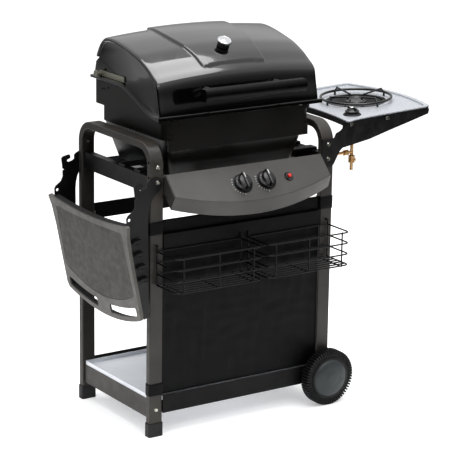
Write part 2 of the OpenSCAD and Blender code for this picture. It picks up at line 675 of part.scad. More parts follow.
burner_x = 105;
burner_z = 765;
neck_y = -102;
module main_burners() centred() color("#8a8c8e") both_x() difference() {
    union() {
        translate([burner_x, -118, burner_z]) rotate([-90, 0, 0]) cylinder(h = 240, r = 16);
        // neck that turns down through the floor of the firebox
        translate([burner_x, neck_y, 692]) cylinder(h = burner_z - 692, r = 11);
        slab([burner_x - 8, 121, burner_z + 5], [burner_x + 8, 154.5, burner_z + 7]);
    }
    translate([burner_x, neck_y - 9, burner_z]) rotate([-90, 0, 0]) cylinder(h = 212, r = 9.5);
    translate([burner_x, neck_y, 691]) cylinder(h = burner_z - 691, r = 8.8);
    for (y = [-76 : 12 : 104], s = [-1, 1])
        translate([burner_x, y, burner_z]) rotate([0, s * 35, 0]) cylinder(h = 20, r = 1.3, $fn = 16);
}

module flame_tamers() centred() color("#77797b") both_x() translate([burner_x, 158, 790.3]) rotate([90,
    0, 0])
    linear_extrude(300) polygon([[-52, 0], [-52, 1.5], [0, 27], [52, 1.5], [52, 0], [0, 25.2]]);

grate_pitch = 13;
module cooking_grates() centred() color("#1d1d1f") both_x() {
    for (i = [0 : 16]) slab([6 + i * grate_pitch, -148, 842], [12 + i * grate_pitch, 154, 850]);
    for (y = [-156, 0, 150]) slab([6, y, 841.2], [12 + 16 * grate_pitch, y + 8, 849]);
}

module warming_rack() centred() color("#9a9c9f") {
    for (y = [16, 104]) rod([-box_x + wall, y, 915], [box_x - wall, y, 915], 3);
    for (i = [-11 : 11]) rod([i * 20, 16, 915], [i * 20, 104, 915], 2);
}

// ---------------------------------------------------------------- lid
hinge_y = 143;
hinge_z = 948;
ear_bolts = [[150, 902], [137, 904], [118, 909]];
ear_x = box_x - wall;
module hinge_ears() centred() color("#7d8084") both_x() {
    difference() {
        translate([ear_x - 3, 0, 0]) rotate([90, 0, 90]) linear_extrude(3)
            polygon([[110, 896], [160, 892], [160, 944], [156, 956], [143, 961], [130, 955], [126,
                930], [110, 920]]);
        for (p = ear_bolts) translate([ear_x - 4, p.x, p.y]) rotate([0, 90, 0]) cylinder(h = 5, r = 2.7);
    }
    translate([ear_x - 3, hinge_y, hinge_z]) rotate([0, 90, 0]) cylinder(h = 31, r = 4);
    translate([ear_x + 26, hinge_y, hinge_z]) rotate([0, 90, 0]) cylinder(h = 5, r = 9);
}

skin = 3;
// Side profile of the lid's outside, from the front lip over the roof to the rear edge, as [y, z]
lid_profile = [
    [-173.5, 869], [-171, 890], [-163, 926], [-157, 955], [-152, 966], [-143, 975], [-127, 985], [-102,
        1001],
    [-75, 1014], [-50, 1024], [-20, 1032], [10, 1039], [40, 1045], [75, 1050], [100, 1051], [120, 1048],
    [136, 1039], [149, 1026], [161, 1007], [167, 995]
];
// How far each profile point takes part in the crown
function lift(i) = i < 1 ? 0 : i < 4 ? i / 4 : 1;
lid_n = len(lid_profile);
function unit(v) = v / norm(v);
function normal(i) =
    let (a = lid_profile[max(i - 1, 0)], b = lid_profile[min(i + 1, lid_n - 1)], d = unit(b - a)) [d.y,
        -d.x];
function lid_point(i, x, inset) =
    let (p = lid_profile[i] + inset * normal(i), c = crown * (1 - pow(x / lid_x, 2)))
    [x, p.x, p.y + lift(i) * c];

module lid_skin() {
    stations = [for (k = [-8 : 8]) k / 8 * (lid_x - 0.5)];
    m = len(stations);
    points = [for (x = stations, side = [0, 1], i = [0 : lid_n - 1]) lid_point(i, x, side * skin)];
    function id(k, side, i) = (k * 2 + side) * lid_n + i;
    faces = concat(
        [for (k = [0 : m - 2], i = [0 : lid_n - 2])
            each [[id(k, 0, i), id(k, 0, i + 1), id(k + 1, 0, i + 1)], [id(k, 0, i), id(k + 1, 0,
                i + 1), id(k + 1, 0, i)]]],
        [for (k = [0 : m - 2], i = [0 : lid_n - 2])
            each [[id(k, 1, i), id(k + 1, 1, i + 1), id(k, 1, i + 1)], [id(k, 1, i), id(k + 1, 1, i),
                id(k + 1, 1, i + 1)]]],
        [for (k = [0 : m - 2], i = [0, lid_n - 1]) let (a = id(k, 0, i), b = id(k + 1, 0, i),
            c = id(k + 1, 1, i), d = id(k, 1, i))
            each i == 0 ? [[a, b, c], [a, c, d]] : [[a, c, b], [a, d, c]]],
        [for (i = [0 : lid_n - 2]) let (a = id(0, 0, i), b = id(0, 0, i + 1), c = id(0, 1, i + 1),
            d = id(0, 1, i))
            each [[a, d, c], [a, c, b]]],
        [for (i = [0 : lid_n - 2])
            let (a = id(m - 1, 0, i), b = id(m - 1, 0, i + 1), c = id(m - 1, 1, i + 1), d = id(m - 1, 1, i))
            each [[a, c, d], [a, b, c]]]
    );
    polyhedron(points, faces, convexity = 6);
}

part_gap = 1;
lid_side = concat(lid_profile, [[182, 948], [182, rear_z + part_gap]],
    [for (p = parting) p + [0, part_gap]], [[-173, part_low + part_gap]]);

module lid_side_plate() rotate([90, 0, 90]) {
    translate([0, 0, lid_x - 8]) linear_extrude(3) polygon(lid_side);
    translate([0, 0, lid_x - 5.01]) linear_extrude(5.01) difference() {
        polygon(lid_side);
        offset(delta = -8) polygon(lid_side);
    }
}

lip = [for (p = parting) p + [0, part_gap]];
lip_h = 9;
module lid_lip() {
    rotate([90, 0, 90]) translate([0, 0, lid_x - 8]) linear_extrude(17)
        polygon(concat([[182, rear_z + part_gap]], lip, [[-174, part_low + part_gap], [-174,
            part_low + 11]],
            [for (i = [12 : -1 : 0]) lip[i] + [2, lip_h]], [[182, rear_z + part_gap + lip_h]]));
}

module raised_panel() {
    xs = [-124, -117, -60, 0, 60, 117, 124];
    rows = [5, 6, 7, 9, 11, 13, 14, 15, 16];
    last = len(rows) - 1;
    function narrow(k) = 0.84 + 0.16 * min(k / 5, 1);
    function rim(j, k) = (j == 0 || j == len(xs) - 1 || k == 0 || k == last) ? 0.5 : panel_rise;
    top = [for (j = [0 : len(xs) - 1], k = [0 : last])
        let (p = lid_point(rows[k], xs[j] * narrow(k), 0), n = normal(rows[k])) p - rim(j, k) * [0,
            n.x, n.y]];
    low = [for (j = [0 : len(xs) - 1], k = [0 : last])
        let (p = lid_point(rows[k], xs[j] * narrow(k), 0), n = normal(rows[k])) p + 1.2 * [0, n.x, n.y]];
    count = len(top);
    w = last + 1;
    function q(j, k) = j * w + k;
    faces = concat(
        [for (j = [0 : len(xs) - 2], k = [0 : last - 1])
            each [[q(j, k), q(j, k + 1), q(j + 1, k + 1)], [q(j, k), q(j + 1, k + 1), q(j + 1, k)]]],
        [for (j = [0 : len(xs) - 2], k = [0 : last - 1])
            each [[count + q(j, k), count + q(j + 1, k + 1), count + q(j, k + 1)],
                  [count + q(j, k), count + q(j + 1, k), count + q(j + 1, k + 1)]]],
        [for (j = [0 : len(xs) - 2]) each [[q(j, 0), q(j + 1, 0), count + q(j + 1, 0)], [q(j, 0),
            count + q(j + 1, 0), count + q(j, 0)]]],
        [for (j = [0 : len(xs) - 2]) each [[q(j, last), count + q(j + 1, last), q(j + 1, last)],
            [q(j, last), count + q(j, last), count + q(j + 1, last)]]],
        [for (k = [0 : last - 1]) each [[q(0, k), count + q(0, k + 1), q(0, k + 1)], [q(0, k),
            count + q(0, k), count + q(0, k + 1)]]],
        [for (k = [0 : last - 1]) let (j = len(xs) - 1)
            each [[q(j, k), q(j, k + 1), count + q(j, k + 1)], [q(j, k), count + q(j, k + 1),
                count + q(j, k)]]]
    );
    polyhedron(concat(top, low), faces, convexity = 4);
}

module lid_shell() centred() color("#0b0b0d") difference() {
    union() {
        lid_skin();
        both_x() lid_side_plate();
        both_x() lid_lip();
        difference() {
            slab([-lid_x - 9, -177, part_low + part_gap], [lid_x + 9, -171, part_low + 13]);
            for (x = [-115, 115]) slab([x - 8, -178, part_low], [x + 8, -174, part_low + 14]);
        }
        raised_panel();
    }
    both_x() translate([lid_x - 12, hinge_y, hinge_z]) rotate([0, 90, 0]) cylinder(h = 20, r = 7);
    translate([0, gauge_y, gauge_z]) rotate([gauge_tilt, 0, 0]) translate([0, 0, -14]) cylinder(h = 14,
        r = 6);
    translate([0, gauge_y, gauge_z]) rotate([gauge_tilt, 0, 0]) cylinder(h = 8, r = 17.3);
    both_x() translate([post_x, -190, handle_z]) rotate([-90, 0, 0]) cylinder(h = 40, r = 3.3);
}

module lid_hinge_plates() centred() color("#7c7b70") both_x() difference() {
    union() {
        slab([lid_x - 5, 20, 941], [lid_x - 2.5, hinge_y, 956]);
        translate([lid_x - 5, hinge_y, hinge_z]) rotate([0, 90, 0]) cylinder(h = 6, r = 7.9);
    }
    translate([lid_x - 6, hinge_y, hinge_z]) rotate([0, 90, 0]) cylinder(h = 8, r = 4 + run_gap);
}

handle_z = 940;
handle_y = -236;
handle_half = 162;
post_x = 112;
module handle_section() intersection() {
    translate([6, 0]) scale([1, 1]) circle(20);
    translate([-1, 0]) square([30, 34], center = true);
}

module lid_handle() centred() color("#111113") difference() {
    translate([0, handle_y, handle_z]) rotate([90, 0, 90])
        linear_extrude(2 * handle_half, center = true) handle_section();
    both_x() translate([post_x, handle_y, handle_z]) rotate([-90, 0, 0]) cylinder(h = 40, r = 3.1);
}

module lid_handle_posts() centred() color("#1a1a1c") both_x() translate([post_x, 0, handle_z]) {
    translate([0, handle_y + 14.1, 0]) rotate([-90, 0, 0]) cylinder(h = 56, r = 9);
    translate([0, handle_y + 2, 0]) rotate([-90, 0, 0]) cylinder(h = 83, r = 3);
    translate([0, handle_y + 81, 0]) rotate([-90, 0, 0]) cylinder(h = 4, r = 7);
}

gauge_y = -78;
gauge_z = 1035.5;
gauge_tilt = 25;
module thermometer() centred() color("#c8c8ca") translate([0, gauge_y, gauge_z]) rotate([gauge_tilt, 0,
    0]) {
    cylinder(h = 15, r = 17);
    translate([0, 0, 14]) rotate_extrude() polygon([[0, 0], [19.5, 0], [20.5, 1], [20.5, 4], [18, 6.5],
        [0, 7.5]]);
    translate([0, 0, -50]) cylinder(h = 51, r = 3.2);
}

// ---------------------------------------------------------------- control panel and gas train
panel_y = -195;
panel_z = 730;
panel_half = 254;
panel_end = 71;
panel_mid = 115;
panel_depth = 38;
panel_wall = 2;
knob_x = 3.5;
knob_s = 58;
igniter_x = 117;

module panel_place() centred() translate([0, panel_y, panel_z]) rotate([panel_tilt, 0, 0]) children();

// Face outline in the panel's plane, the bowed edge down the slope
module panel_outline(half, s_end, s_mid, inset = 0) polygon(concat(
    [for (i = [-10 : 10]) let (x = (half - inset) * i / 10) [x, -(s_mid + (s_end - s_mid) * pow(i / 10,
        2)) + inset]],
    [[half - inset, -inset], [-half + inset, -inset]]
));

module panel_form(inset) hull() {
    translate([0, 0, -inset - 0.1]) linear_extrude(0.1) panel_outline(panel_half - 3, panel_end - 2,
        panel_mid - 3, inset);
    translate([0, 0, -3 - inset]) linear_extrude(0.1) panel_outline(panel_half, panel_end, panel_mid,
        inset);
    translate([0, 0, -panel_depth - (inset > 0 ? 1 : 0)]) linear_extrude(0.1)
        panel_outline(panel_half + 3, panel_end + 14, panel_mid + 19, inset);
}

bracket_at = [-206, 672];
module control_panel() color("#5a595c") difference() {
    panel_place() difference() {
        panel_form(0);
        panel_form(panel_wall);
        for (x = [-1, 1]) translate([knob_x + x * knob_pitch / 2, -knob_s, -5]) cylinder(h = 10, r = 6);
        translate([igniter_x, -knob_s + 2, -5]) cylinder(h = 10, r = 8);
    }
    centred() both_x() translate([inner_x - 10, bracket_at.x, bracket_at.y]) rotate([0, 90, 0])
        cylinder(h = 12, r = 2.4);
}

// Angle from the leg's inner face to the panel's end, with its screw
module panel_brackets() centred() color("#2a2a2c") both_x() {
    slab([inner_x - 9.5, -215, 662], [inner_x - 7.5, -inner_y - 3, 680]);
    slab([inner_x - 9.5, -inner_y - 13, 662], [inner_x, -inner_y - 3, 672]);
    translate([inner_x - 9, bracket_at.x, bracket_at.y]) rotate([0, 90, 0]) cylinder(h = 8.6, r = 2);
}

module knob_place(side) panel_place()
    translate([knob_x + side * knob_pitch / 2, -knob_s, 0]) children();

module knob_bezels() color("#1b1b1d") {
    for (side = [-1, 1]) knob_place(side) difference() {
        cylinder(h = 1.2, r = knob_r + 3);
        translate([0, 0, -1]) cylinder(h = 4, r = 6);
    }
    field_place() translate([side_knob_at.x, side_knob_at.y, 3]) difference() {
        cylinder(h = 4.7, r1 = 26, r2 = 23);
        translate([0, 0, -1]) cylinder(h = 7, r = 6);
    }
}

module stem() translate([0, 0, -20]) cylinder(h = 32, r = 4);
module stem_left() color("#a9a9ab") knob_place(-1) stem();
module stem_right() color("#a9a9ab") knob_place(1) stem();
module knob_left() color("#101012") knob_place(-1) translate([0, 0, 4.7]) control_knob(knob_r, 17, 9, 0);
module knob_right() color("#101012") knob_place(1) translate([0, 0, 4.7]) control_knob(knob_r, 17, 9, 0);

module igniter_bezel() panel_place() color("#101012") translate([igniter_x, -knob_s + 2, 0]) difference() {
    union() {
        rotate_extrude() polygon([[6 + run_gap, 0], [13, 0], [13, 2], [11, 4.5], [6 + run_gap, 4.5]]);
        translate([0, 0, -24]) cylinder(h = 24, r = 7.8);
    }
    translate([0, 0, -18]) cylinder(h = 40, r = 6 + run_gap);
}
module igniter_button() panel_place() color("#c22a22") translate([igniter_x, -knob_s + 2, 0]) {
    translate([0, 0, -12]) cylinder(h = 20, r = 6);
    translate([0, 0, 8]) cylinder(h = 2, r1 = 6, r2 = 4.5);
}

manifold_y = panel_y - 6;
manifold_z = 650;
manifold_end = 238;
feed_z = 668;
module manifold() color("#8a8c8e") {
    centred() translate([-70, manifold_y, manifold_z]) rotate([0, 90, 0])
        cylinder(h = manifold_end + 78, r = 8);
    for (side = [-1, 1]) knob_place(side) difference() {
        translate([0, 0, -46]) cylinder(h = 43.5, r = 11);
        translate([0, 0, -26]) cylinder(h = 30, r = 4 + run_gap);
    }
}

module feed_tubes() centred() color("#b87a4a") for (side = [-1, 1])
    let (vx = knob_x + side * knob_pitch / 2, bx = side * burner_x) {
        rod([vx + side * 10, manifold_y + 4, feed_z], [bx, neck_y, feed_z], 4);
        translate([bx, neck_y, feed_z]) sphere(5);
        rod([bx, neck_y, feed_z], [bx, neck_y, 704], 4);
    }

left_side_frame();
right_side_frame();
foot_caps();
leg_plugs();
upper_side_rails();
upper_front_rail();
upper_rear_rail();
lower_side_rails();
lower_front_rail();
lower_rear_rail();
bottom_shelf();
frame_bolts();
axle();
wheel_front_tyre();
wheel_front_hub();
wheel_rear_tyre();
wheel_rear_hub();
curtain();
curtain_straps();
basket_left();
basket_right();
left_shelf_top();
left_shelf_inlay();
left_shelf_skirt();
left_shelf_arm_front();
left_shelf_arm_rear();
burner_shelf_top();
burner_shelf_skirt();
burner_shelf_arms();
shelf_bolts();
burner_bowl();
side_burner();
pan_support();
side_valve();
side_stem();
side_knob();
gas_inlet();
firebox();
grease_tray();
main_burners();
flame_tamers();
cooking_grates();
warming_rack();
hinge_ears();
lid_shell();
lid_hinge_plates();
lid_handle();
lid_handle_posts();
thermometer();
control_panel();
panel_brackets();
manifold();
stem_left();
stem_right();
knob_left();
knob_right();
igniter_bezel();
igniter_button();
feed_tubes();
knob_bezels();
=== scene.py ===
import bpy, bmesh, math, random
from mathutils import Vector, Matrix, noise


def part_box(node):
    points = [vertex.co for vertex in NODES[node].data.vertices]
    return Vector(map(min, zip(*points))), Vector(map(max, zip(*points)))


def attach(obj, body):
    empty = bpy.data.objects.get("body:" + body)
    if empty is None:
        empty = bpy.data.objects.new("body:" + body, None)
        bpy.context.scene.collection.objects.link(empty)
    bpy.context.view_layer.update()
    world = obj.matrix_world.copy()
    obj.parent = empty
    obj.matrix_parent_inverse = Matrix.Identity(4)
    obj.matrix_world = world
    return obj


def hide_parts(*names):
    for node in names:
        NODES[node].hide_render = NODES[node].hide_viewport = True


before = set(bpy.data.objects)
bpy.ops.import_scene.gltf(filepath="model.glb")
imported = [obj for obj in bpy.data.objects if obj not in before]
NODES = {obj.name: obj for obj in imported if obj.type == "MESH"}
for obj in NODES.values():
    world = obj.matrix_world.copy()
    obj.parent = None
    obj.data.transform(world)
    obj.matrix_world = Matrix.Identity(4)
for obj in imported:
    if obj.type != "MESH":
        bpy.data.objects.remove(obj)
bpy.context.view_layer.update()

# The cart's own middle on the ground, from the left frame's feet and the right frame's outer side
left_frame, right_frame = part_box("left_side_frame"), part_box("right_side_frame")
MID = Vector(((left_frame[0].x + right_frame[1].x) / 2, (left_frame[0].y + left_frame[1].y) / 2, 0))


def at(x, y, z):
    """Cart millimetres (x to the right, y to the rear, z up) to the part's metres."""
    return MID + Vector((x, y, z)) / 1000


# ------------------------------------------------------------------ sizes, in cart millimetres
LEG_X, LEG_Y = 278, 182
LEG_WIDTH, LEG_DEPTH = 40, 20
CLOTH = 0.9

WHEEL_R, WHEEL_INNER = 81, 202
TYRE_W = 31.8
LUGS = 60

LID_X, CROWN = 257, 14
LID_CORNER = 7
LID_SKIN = 2.6
PANEL_RISE = 6.6
LID_PROFILE = [
    (-173.5, 869), (-171, 890), (-163, 926), (-157, 955), (-152, 966), (-143, 975), (-127, 985),
    (-102, 1001), (-75, 1014), (-50, 1024), (-20, 1032), (10, 1039), (40, 1045), (75, 1050),
    (100, 1051), (120, 1048), (136, 1039), (149, 1026), (161, 1007), (167, 995),
]
# The parting line between lid and firebox drops from its rear height to its front one
PART_REAR_Y, PART_REAR_Z = 40, 931
PART_FRONT_Y, PART_DROP = -168, 62

FACE_ORIGIN, FACE_TILT = (0, -195, 730), 46
KNOB_X = (-35, 42)
KNOB_S = -58
KNOB_RISE = 4.7

SHELF_ORIGIN, SHELF_TILT = (278, 0, 810.5), -2.3
SHELF_FIELD = -1.5
SIDE_KNOB_U, SIDE_KNOB_V, SIDE_KNOB_RISE = 124, -136, 6.2

GAUGE_ORIGIN, GAUGE_TILT = (0, -78, 1035.5), 25

CURTAIN_X, CURTAIN_Y = 257, -186
CURTAIN_LOW, CURTAIN_HIGH = 117.5, 606.5
CURTAIN_DEPTH = 3.0


# ------------------------------------------------------------------ materials
def rgba(code):
    """An sRGB hex code as a linear colour."""
    out = []
    for i in (0, 2, 4):
        c = int(code[i:i + 2], 16) / 255
        out.append(c / 12.92 if c <= 0.04045 else ((c + 0.055) / 1.055) ** 2.4)
    return tuple(out) + (1.0,)


class Mat:
    """A node material: a Principled shader with short calls for what feeds it."""

    def __init__(self, name, color, rough=0.5, metal=0.0, spec=0.5, **sockets):
        self.m = bpy.data.materials.new(name)
        self.m.use_nodes = True
        self.tree = self.m.node_tree
        self.shader = self.tree.nodes["Principled BSDF"]
        self.shader.inputs["Base Color"].default_value = rgba(color)
        self.shader.inputs["Roughness"].default_value = rough
        self.shader.inputs["Metallic"].default_value = metal
        self.shader.inputs["Specular IOR Level"].default_value = spec
        for key, value in sockets.items():
            self.shader.inputs[key.replace("_", " ")].default_value = value
        self.place = self.node("ShaderNodeTexCoord").outputs["Object"]
        self.normal = None

    def node(self, kind, **props):
        node = self.tree.nodes.new(kind)
        for key, value in props.items():
            setattr(node, key, value)
        return node

    def link(self, a, b):
        self.tree.links.new(a, b)

    def stretched(self, scale):
        """The object coordinates with their own scale on each axis."""
        mapping = self.node("ShaderNodeMapping")
        mapping.inputs["Scale"].default_value = scale
        self.link(self.place, mapping.inputs["Vector"])
        return mapping.outputs["Vector"]

    def noise(self, scale, detail=3, rough=0.5, place=None):
        node = self.node("ShaderNodeTexNoise")
        node.inputs["Scale"].default_value = scale
        node.inputs["Detail"].default_value = detail
        node.inputs["Roughness"].default_value = rough
        self.link(place or self.place, node.inputs["Vector"])
        return node.outputs["Fac"]

    def cells(self, scale):
        node = self.node("ShaderNodeTexVoronoi", feature="F1")
        node.inputs["Scale"].default_value = scale
        self.link(self.place, node.inputs["Vector"])
        return node.outputs["Distance"]

    def bands(self, direction, scale, distortion):
        node = self.node("ShaderNodeTexWave", wave_type="BANDS", bands_direction=direction)
        node.inputs["Scale"].default_value = scale
        node.inputs["Distortion"].default_value = distortion
        self.link(self.place, node.inputs["Vector"])
        return node.outputs["Fac"]

    def ramp(self, factor, stops):
        node = self.node("ShaderNodeValToRGB")
        elements = node.color_ramp.elements
        while len(elements) < len(stops):
            elements.new(0.5)
        for element, (position, color) in zip(elements, stops):
            element.position = position
            element.color = color if isinstance(color, tuple) else (color, color, color, 1)
        self.link(factor, node.inputs["Fac"])
        return node.outputs["Color"]

    def paint(self, factor, dark, light):
        stops = [(0.35, rgba(dark)), (0.65, rgba(light))]
        self.link(self.ramp(factor, stops), self.shader.inputs["Base Color"])

    def rough(self, factor, low, high):
        self.link(self.ramp(factor, [(0.3, low), (0.7, high)]), self.shader.inputs["Roughness"])

    def bump(self, factor, strength, distance):
        """Adds a bump on top of those before it."""
        node = self.node("ShaderNodeBump")
        node.inputs["Strength"].default_value = strength
        node.inputs["Distance"].default_value = distance
        self.link(factor, node.inputs["Height"])
        if self.normal:
            self.link(self.normal, node.inputs["Normal"])
        self.normal = node.outputs["Normal"]
        self.link(self.normal, self.shader.inputs["Normal"])


def powder(name, dark, light, rough, spec=0.5):
    """Powder coat: a fine orange peel and a slow shift of tone."""
    m = Mat(name, light, rough, spec=spec)
    m.paint(m.noise(9, 4), dark, light)
    m.rough(m.noise(38, 3), rough - 0.06, rough + 0.08)
    m.bump(m.noise(900, 2), 0.12, 0.0006)
    return m.m


def moulded(name, dark, light, rough, grain=700, bump=0.2, spec=0.5):
    """Moulded plastic with a fine leather-like grain."""
    m = Mat(name, light, rough, spec=spec)
    m.paint(m.noise(14, 4), dark, light)
    m.rough(m.noise(60, 3), rough - 0.07, rough + 0.09)
    m.bump(m.cells(grain), bump, 0.0005)
    m.bump(m.noise(grain * 1.7, 2), bump * 0.6, 0.0004)
    return m.m


def gloss_lid():
    m = Mat("lid_enamel", "060607", 0.11, Coat_Weight=1.0, Coat_Roughness=0.04)
    m.paint(m.noise(5, 3), "050506", "09090a")
    m.rough(m.noise(25, 4), 0.09, 0.17)
    m.bump(m.noise(55, 2), 0.035, 0.0008)
    m.bump(m.noise(1400, 2), 0.05, 0.0002)
    return m.m


def cast():
    m = Mat("cast_body", "0d0b0a", 0.30)
    m.paint(m.noise(7, 5, 0.6), "090807", "110e0c")
    m.rough(m.noise(12, 2), 0.27, 0.33)
    m.bump(m.noise(1500, 2), 0.1, 0.0002)
    return m.m


def panel_paint():
    m = Mat("panel_paint", "454442", 0.36, 0.2)
    m.paint(m.noise(6, 3), "403f3d", "4b4a48")
    m.rough(m.noise(50, 3), 0.29, 0.40)
    m.bump(m.noise(1100, 2), 0.14, 0.0004)
    return m.m


def speckled():
    """Silver hammer paint with darker and lighter specks."""
    m = Mat("speckled_silver", "b4b7bc", 0.34, 0.35)
    stops = [(0.40, rgba("9fa2a7")), (0.50, rgba("b4b7bc")), (0.62, rgba("c9ccd1"))]
    m.link(m.ramp(m.noise(760, 2), stops), m.shader.inputs["Base Color"])
    m.rough(m.noise(60, 3), 0.30, 0.44)
    m.bump(m.noise(760, 2), 0.22, 0.0004)
    return m.m


def satin(name, dark, light, rough):
    """A dull metal finish without a grain direction."""
    m = Mat(name, light, rough, 0.3)
    m.paint(m.noise(4, 4), dark, light)
    m.rough(m.noise(30, 4), rough - 0.06, rough + 0.1)
    m.bump(m.noise(900, 2), 0.1, 0.0003)
    return m.m


def brushed(name, dark, light, rough, grain=(900, 18, 900)):
    """Bare metal, brushed along the axis with the lowest grain number."""
    m = Mat(name, light, rough, 1.0)
    lines = m.noise(1.0, 4, 0.6, m.stretched(grain))
    m.paint(lines, dark, light)
    m.rough(lines, rough - 0.08, rough + 0.12)
    m.bump(lines, 0.12, 0.0003)
    return m.m


def brass():
    m = Mat("plain_brass", "cfa876", 0.38, 1.0)
    m.paint(m.noise(60, 4), "bd9160", "dcbb8c")
    m.rough(m.noise(140, 3), 0.3, 0.5)
    m.bump(m.noise(600, 2), 0.1, 0.0003)
    return m.m


def chrome():
    m = Mat("polished_chrome", "dadbdd", 0.08, 1.0)
    m.paint(m.noise(20, 2), "cfd0d2", "e4e5e7")
    m.rough(m.noise(90, 3), 0.05, 0.14)
    m.bump(m.noise(500, 2), 0.02, 0.0002)
    return m.m


def wire():
    m = Mat("black_wire", "070708", 0.33, spec=0.3)
    m.paint(m.noise(50, 3), "050506", "0a0a0b")
    m.rough(m.noise(200, 3), 0.26, 0.42)
    m.bump(m.noise(500, 2), 0.15, 0.0003)
    return m.m


def rubber():
    m = Mat("tyre_rubber", "0d0d0e", 0.6, spec=0.4)
    m.paint(m.noise(30, 4), "09090a", "131314")
    m.rough(m.noise(90, 3), 0.54, 0.72)
    m.bump(m.noise(900, 3), 0.25, 0.0004)
    return m.m


def enamel():
    m = Mat("black_enamel", "070708", 0.22, Coat_Weight=0.4, Coat_Roughness=0.1)
    m.paint(m.noise(30, 4), "040405", "0a0a0b")
    m.rough(m.noise(80, 3), 0.16, 0.34)
    m.bump(m.noise(300, 3), 0.12, 0.0004)
    return m.m


def white():
    m = Mat("white_print", "d9d9d6", 0.5)
    m.paint(m.noise(300, 2), "cfcfcb", "e2e2df")
    m.rough(m.noise(200, 2), 0.45, 0.6)
    m.bump(m.noise(900, 2), 0.05, 0.0002)
    return m.m


def red():
    m = Mat("red_button", "b0221c", 0.28, Coat_Weight=0.3)
    m.paint(m.noise(90, 2), "a01d18", "c42a22")
    m.rough(m.noise(200, 2), 0.22, 0.36)
    return m.m


def cloth():
    """A plain weave: two sets of threads, with soft creases under them."""
    m = Mat("curtain_weave", "020203", 0.45, spec=0.2, Sheen_Weight=0.02, Sheen_Roughness=0.4)
    m.paint(m.noise(11, 5), "010102", "030304")
    threads = m.node("ShaderNodeMath", operation="ADD")
    for k, direction in enumerate("XZ"):
        m.link(m.bands(direction, 260, 0.6), threads.inputs[k])
    m.bump(threads.outputs[0], 0.25, 0.0004)
    m.bump(m.noise(45, 4), 0.15, 0.002)
    m.rough(m.noise(30, 3), 0.4, 0.52)
    return m.m


MAT = {
    "frame": powder("frame_powder", "2b2825", "37332f", 0.42),
    # The front and rear rails: the frame's powder coat made far darker and duller, as painted shade from
    # under the cart and the firebox
    "rail": powder("rail_powder_painted_shade", "080707", "0d0c0b", 0.46, spec=0.24),
    "black": powder("black_powder", "050506", "0b0b0c", 0.38),
    "plastic": moulded("black_moulding", "0c0c0d", "151516", 0.52),
    "hub": moulded("hub_plastic", "2a2f31", "353b3d", 0.42, 900, 0.12),
    "shelf": moulded("shelf_moulding", "4c4a46", "575551", 0.46, 640, 0.16),
    "inlay": moulded("shelf_inlay", "34312e", "3f3b37", 0.55, 420, 0.7),
    "knob": moulded("knob_plastic", "08080a", "111113", 0.3, 1200, 0.06, 0.6),
    "handle": moulded("handle_plastic", "030304", "060607", 0.34, 1400, 0.05, 0.14),
    "lid": gloss_lid(),
    "cast": cast(),
    "panel": panel_paint(),
    "silver_top": speckled(),
    "silver_base": satin("satin_silver", "d6d9df", "e4e7ec", 0.38),
    "plate": satin("dull_zinc", "77766c", "8b8a7f", 0.42),
    "steel": brushed("plain_steel", "6f7073", "8f9093", 0.34),
    "zinc": brushed("bright_zinc", "a8a79f", "c9c7be", 0.24, (300, 300, 300)),
    "tray": brushed("tray_sheet", "a9abae", "cdcfd2", 0.3, (14, 500, 500)),
    "brass": brass(),
    "chrome": chrome(),
    "wire": wire(),
    "rubber": rubber(),
    "enamel": enamel(),
    "white": white(),
    "red": red(),
    "cloth": cloth(),
}

# Which CAD nodes wear which material
USE = {
    "frame": "left_side_frame right_side_frame lower_side_rails",
    # The front and rear rails take the darkened powder, which is painted shade; the side rails keep the
    # frame's own tone
    "rail": "upper_front_rail upper_rear_rail lower_front_rail lower_rear_rail",
    "black": "upper_side_rails left_shelf_arm_front left_shelf_arm_rear burner_shelf_arms panel_brackets",
    "plastic": "foot_caps leg_plugs left_shelf_skirt burner_shelf_skirt knob_bezels lid_handle_posts",
    "knob": "knob_left knob_right side_knob igniter_bezel",
    "handle": "lid_handle",
    "shelf": "left_shelf_top",
    "inlay": "left_shelf_inlay",
    "silver_top": "burner_shelf_top",
    "silver_base": "bottom_shelf",
    "zinc": "frame_bolts shelf_bolts axle",
    "rubber": "wheel_front_tyre wheel_rear_tyre",
    "hub": "wheel_front_hub wheel_rear_hub",
    "cloth": "curtain curtain_straps",
    "wire": "basket_left basket_right",
    "enamel": "burner_bowl pan_support side_burner",
    "brass": "side_valve gas_inlet feed_tubes",
    "steel": "side_stem stem_left stem_right main_burners manifold flame_tamers warming_rack",
    "plate": "hinge_ears lid_hinge_plates",
    "cast": "firebox cooking_grates",
    "tray": "grease_tray",
    "lid": "lid_shell",
    "chrome": "thermometer",
    "panel": "control_panel",
    "red": "igniter_button",
}
for key, names in USE.items():
    for name in names.split():
        mesh = NODES[name].data
        mesh.materials.clear()
        mesh.materials.append(MAT[key])


# ------------------------------------------------------------------ helpers
def piece(name, mesh, body, slot, finishes, node):
    """A new object from a mesh, riding on a body and standing in for a CAD node."""
    o = bpy.data.objects.new(name, mesh)
    bpy.context.scene.collection.objects.link(o)
    for key in finishes:
        mesh.materials.append(MAT[key])
    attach(o, body)
    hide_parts(node)
    return o


def made(name, parts, angle):
    """One mesh from parts of (verts, faces, finish), in cart millimetres.

    A finish is one material number, or a list with one for each face. Edges over the angle stay sharp."""
    verts, faces, finishes = [], [], []
    for part_verts, part_faces, finish in parts:
        base = len(verts)
        verts += [at(*v) for v in part_verts]
        faces += [tuple(base + i for i in face) for face in part_faces]
        finishes += finish if isinstance(finish, list) else [finish] * len(part_faces)
    mesh = bpy.data.meshes.new(name)
    mesh.from_pydata(verts, [], faces)
    bm = bmesh.new()
    bm.from_mesh(mesh)
    for face in bm.faces:
        face.material_index = finishes[face.index]
    bmesh.ops.remove_doubles(bm, verts=bm.verts, dist=1e-6)
    bmesh.ops.recalc_face_normals(bm, faces=bm.faces)
    bm.to_mesh(mesh)
    bm.free()
    smoothed(mesh, angle)
    return mesh


